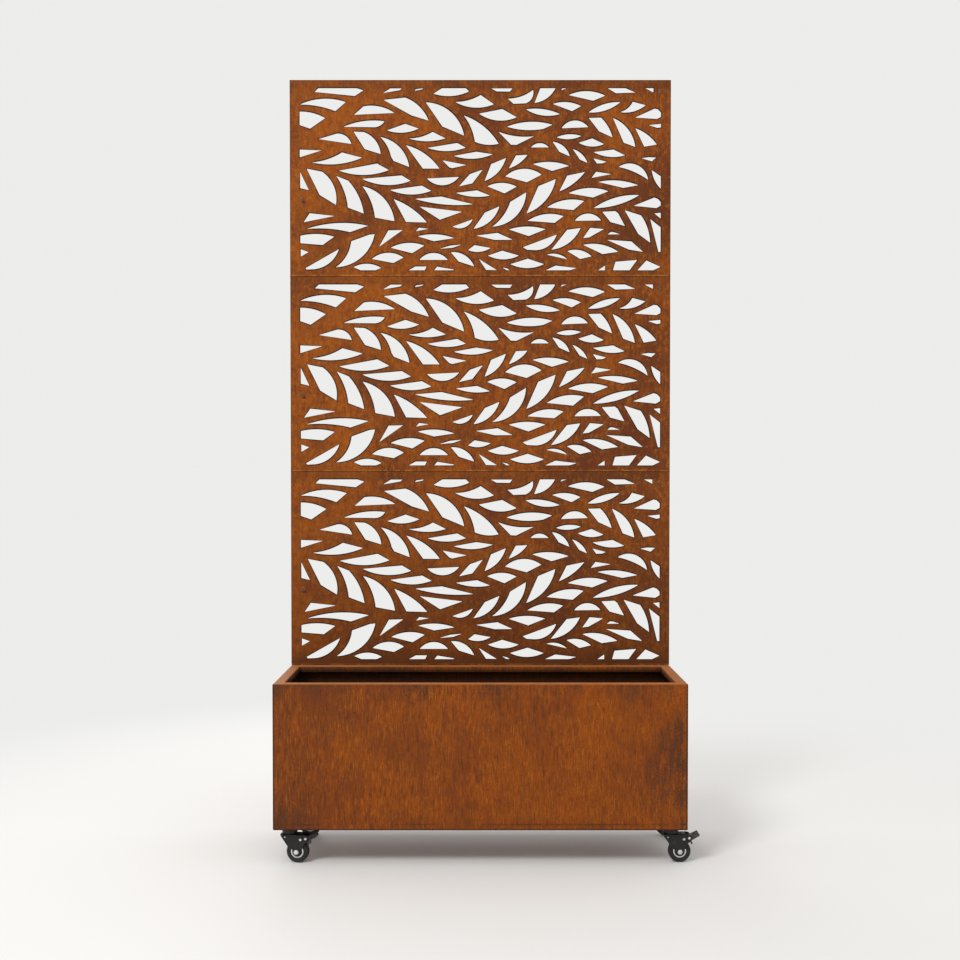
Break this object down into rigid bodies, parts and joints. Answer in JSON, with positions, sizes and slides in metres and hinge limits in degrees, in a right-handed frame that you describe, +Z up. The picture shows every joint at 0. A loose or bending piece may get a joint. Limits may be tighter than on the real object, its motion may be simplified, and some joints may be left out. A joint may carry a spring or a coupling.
{
  "type": "planter with leaf-cut privacy screen",
  "caption": "Weathering-steel planter box on braked swivel casters, with a tall leaf-cut privacy screen of stacked folded panels standing at its back.",
  "frame": {"origin": "on the ground, under the middle of the planter box", "axes": "+X to the right as seen from the front, +Y from the planter's front to the screen at its back, +Z up"},
  "size_m": [0.9455, 0.3275, 1.809],
  "materials": {
    "weathering_steel": "rusted weathering steel, matt, streaked",
    "screen_steel": "rusted weathering steel, matt, mottled",
    "upright_steel": "rusted weathering steel, matt",
    "black_steel": "black powder coat, satin",
    "zinc_steel": "bright zinc",
    "tyre_rubber": "black rubber tyre on a moulded core",
    "black_plastic": "black moulded plastic"
  },
  "bodies": {
    "planter": {"planter_front": "weathering_steel", "planter_back": "weathering_steel", "planter_left": "weathering_steel", "planter_right": "weathering_steel", "planter_floor": "weathering_steel", "left_upright": "upright_steel", "right_upright": "upright_steel", "left_upright_plug": "black_plastic", "right_upright_plug": "black_plastic", "screen_bottom": "screen_steel", "screen_middle": "screen_steel", "screen_top": "screen_steel", "caster_stems": "zinc_steel", "stem_nuts": "zinc_steel", "swivel_races": "black_steel"},
    "front_left_fork": {"front_left_fork": "black_steel", "front_left_axle": "zinc_steel"},
    "front_left_wheel": {"front_left_wheel": "tyre_rubber"},
    "front_left_brake_pedal": {"front_left_brake_pedal": "black_plastic"},
    "front_right_fork": {"front_right_fork": "black_steel", "front_right_axle": "zinc_steel"},
    "front_right_wheel": {"front_right_wheel": "tyre_rubber"},
    "front_right_brake_pedal": {"front_right_brake_pedal": "black_plastic"},
    "rear_left_fork": {"rear_left_fork": "black_steel", "rear_left_axle": "zinc_steel"},
    "rear_left_wheel": {"rear_left_wheel": "tyre_rubber"},
    "rear_left_brake_pedal": {"rear_left_brake_pedal": "black_plastic"},
    "rear_right_fork": {"rear_right_fork": "black_steel", "rear_right_axle": "zinc_steel"},
    "rear_right_wheel": {"rear_right_wheel": "tyre_rubber"},
    "rear_right_brake_pedal": {"rear_right_brake_pedal": "black_plastic"}
  },
  "joints": [
    {"name": "front_left_swivel", "type": "hinge", "parent": "planter", "child": "front_left_fork", "pos_m": [-0.425, -0.1125, 0.065], "axis": [0, 0, 1], "continuous": true},
    {"name": "front_left_roll", "type": "hinge", "parent": "front_left_fork", "child": "front_left_wheel", "pos_m": [-0.40629, -0.1158, 0.025], "axis": [0.1736, 0.9848, 0], "continuous": true},
    {"name": "front_left_brake", "type": "hinge", "parent": "front_left_fork", "child": "front_left_brake_pedal", "pos_m": [-0.3861, -0.11936, 0.0555], "axis": [0.1736, 0.9848, 0], "range_deg": [0, 22]},
    {"name": "front_right_swivel", "type": "hinge", "parent": "planter", "child": "front_right_fork", "pos_m": [0.425, -0.1125, 0.065], "axis": [0, 0, 1], "continuous": true},
    {"name": "front_right_roll", "type": "hinge", "parent": "front_right_fork", "child": "front_right_wheel", "pos_m": [0.444, -0.1125, 0.025], "axis": [0, 1, 0], "continuous": true},
    {"name": "front_right_brake", "type": "hinge", "parent": "front_right_fork", "child": "front_right_brake_pedal", "pos_m": [0.4645, -0.1125, 0.0555], "axis": [0, 1, 0], "range_deg": [0, 22]},
    {"name": "rear_left_swivel", "type": "hinge", "parent": "planter", "child": "rear_left_fork", "pos_m": [-0.425, 0.1125, 0.065], "axis": [0, 0, 1], "continuous": true},
    {"name": "rear_left_roll", "type": "hinge", "parent": "rear_left_fork", "child": "rear_left_wheel", "pos_m": [-0.406, 0.1125, 0.025], "axis": [0, 1, 0], "continuous": true},
    {"name": "rear_left_brake", "type": "hinge", "parent": "rear_left_fork", "child": "rear_left_brake_pedal", "pos_m": [-0.3855, 0.1125, 0.0555], "axis": [0, 1, 0], "range_deg": [0, 22]},
    {"name": "rear_right_swivel", "type": "hinge", "parent": "planter", "child": "rear_right_fork", "pos_m": [0.425, 0.1125, 0.065], "axis": [0, 0, 1], "continuous": true},
    {"name": "rear_right_roll", "type": "hinge", "parent": "rear_right_fork", "child": "rear_right_wheel", "pos_m": [0.444, 0.1125, 0.025], "axis": [0, 1, 0], "continuous": true},
    {"name": "rear_right_brake", "type": "hinge", "parent": "rear_right_fork", "child": "rear_right_brake_pedal", "pos_m": [0.4645, 0.1125, 0.0555], "axis": [0, 1, 0], "range_deg": [0, 22]}
  ]
}
